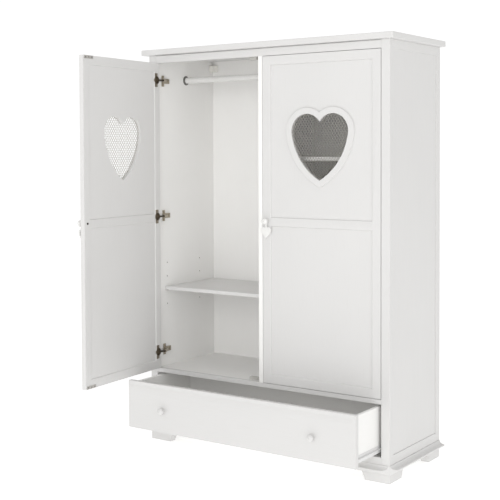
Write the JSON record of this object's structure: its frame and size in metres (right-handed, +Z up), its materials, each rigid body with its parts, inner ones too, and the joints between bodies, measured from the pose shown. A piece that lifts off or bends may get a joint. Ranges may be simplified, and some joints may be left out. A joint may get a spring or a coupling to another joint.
{
  "type": "wardrobe",
  "caption": "White two-door children's wardrobe with heart windows of wire mesh, a hanging rail, shelves and one wide drawer on rollers.",
  "frame": {"origin": "on the floor under the middle of the whole outline at rest, with the left door open and the drawer out, which is 37 mm in front of the carcass", "axes": "+Z up, the doors face -Y, +X to the right seen from the front"},
  "size_m": [1.265, 1.0474, 1.8],
  "materials": {
    "white_paint": "satin white paint",
    "inner_paint": "matt off-white paint",
    "lacquer": "glossy white lacquer",
    "hinge_metal": "nickel with dark bronze-tinted wells",
    "socket_metal": "dark enamel",
    "rail_enamel": "white enamel",
    "runner_enamel": "white epoxy",
    "nylon": "white nylon",
    "catch_plastic": "grey plastic",
    "strike_steel": "bright zinc",
    "wire": "galvanised wire",
    "pin_steel": "zinc",
    "beech": "bare beech"
  },
  "bodies": {
    "cabinet": {"top_board": "white_paint", "top_rail": "white_paint", "front_stile_left": "white_paint", "front_stile_right": "white_paint", "side_frame_left": "white_paint", "side_frame_right": "white_paint", "side_panel_left": "white_paint", "side_panel_right": "white_paint", "lining_left": "inner_paint", "lining_right": "inner_paint", "back_panels": "inner_paint", "back_rails": "white_paint", "partition": "inner_paint", "cabinet_floor": "inner_paint", "drawer_rail": "white_paint", "bottom_rail": "white_paint", "bottom_panel": "inner_paint", "base_frame": "white_paint", "base_moulding_front": "white_paint", "base_moulding_sides": "white_paint", "front_feet": "white_paint", "back_feet": "white_paint", "hanging_rail": "rail_enamel", "rail_flanges": "socket_metal", "left_shelf": "white_paint", "right_shelves": "white_paint", "shelf_pins": "pin_steel", "corner_blocks": "beech", "hinge_arms_left": "hinge_metal", "hinge_arms_right": "hinge_metal", "magnet_catches": "catch_plastic", "cabinet_runners": "runner_enamel"},
    "left_links": {"left_hinge_links": "hinge_metal"},
    "left_door": {"left_door_frame": "white_paint", "left_upper_panel": "white_paint", "left_lower_panel": "white_paint", "left_heart_ring": "white_paint", "left_heart_mesh": "wire", "left_hinge_cups": "hinge_metal", "left_strike_plates": "strike_steel", "left_door_knob": "lacquer"},
    "left_pull": {"left_heart_pull": "lacquer"},
    "right_links": {"right_hinge_links": "hinge_metal"},
    "right_door": {"right_door_frame": "white_paint", "right_upper_panel": "white_paint", "right_lower_panel": "white_paint", "right_heart_ring": "white_paint", "right_heart_mesh": "wire", "right_hinge_cups": "hinge_metal", "right_strike_plates": "strike_steel", "right_door_knob": "lacquer"},
    "right_pull": {"right_heart_pull": "lacquer"},
    "drawer": {"drawer_front": "white_paint", "drawer_sides": "inner_paint", "drawer_back": "inner_paint", "drawer_bottom": "inner_paint", "drawer_knobs": "lacquer", "drawer_runners": "runner_enamel"},
    "front_wheels": {"front_rollers": "nylon"},
    "rear_wheels": {"rear_rollers": "nylon"}
  },
  "joints": [
    {"name": "left_door_swing", "type": "hinge", "parent": "cabinet", "child": "left_door", "pos_m": [-0.569, 0.037, 1.038], "axis": [0, 0, 1], "range_deg": [-13.7, 86.3]},
    {"name": "left_link_swing", "type": "hinge", "parent": "cabinet", "child": "left_links", "pos_m": [-0.533, 0.0505, 1.038], "axis": [0, 0, 1], "range_deg": [-69.95, 11.15]},
    {"name": "left_pull_swing", "type": "hinge", "parent": "left_door", "child": "left_pull", "pos_m": [-0.54003, -0.49925, 1.035], "axis": [0.9979, 0.0645, 0], "range_deg": [-8, 35]},
    {"name": "right_door_swing", "type": "hinge", "parent": "cabinet", "child": "right_door", "pos_m": [0.569, 0.037, 1.038], "axis": [0, 0, 1], "range_deg": [0, 100]},
    {"name": "right_link_swing", "type": "hinge", "parent": "cabinet", "child": "right_links", "pos_m": [0.533, 0.0505, 1.038], "axis": [0, 0, 1], "range_deg": [-81.05, 0.05]},
    {"name": "right_pull_swing", "type": "hinge", "parent": "right_door", "child": "right_pull", "pos_m": [0.032, 0.0313, 1.035], "axis": [0, 1, 0], "range_deg": [-35, 8]},
    {"name": "drawer_slide", "type": "slide", "parent": "cabinet", "child": "drawer", "axis": [0, -1, 0], "range_m": [-0.211, 0.13]},
    {"name": "front_wheel_roll", "type": "hinge", "parent": "cabinet", "child": "front_wheels", "pos_m": [0, 0.071, 0.125], "axis": [1, 0, 0], "continuous": true},
    {"name": "rear_wheel_roll", "type": "hinge", "parent": "drawer", "child": "rear_wheels", "pos_m": [0, 0.244, 0.125], "axis": [1, 0, 0], "continuous": true}
  ],
  "couplings": [
    {"joint": "left_link_swing", "follows": "left_door_swing", "ratio": -0.81},
    {"joint": "right_link_swing", "follows": "right_door_swing", "ratio": -0.81},
    {"joint": "front_wheel_roll", "follows": "drawer_slide", "rad_per_m": 95.238},
    {"joint": "rear_wheel_roll", "follows": "drawer_slide", "rad_per_m": 95.238}
  ]
}
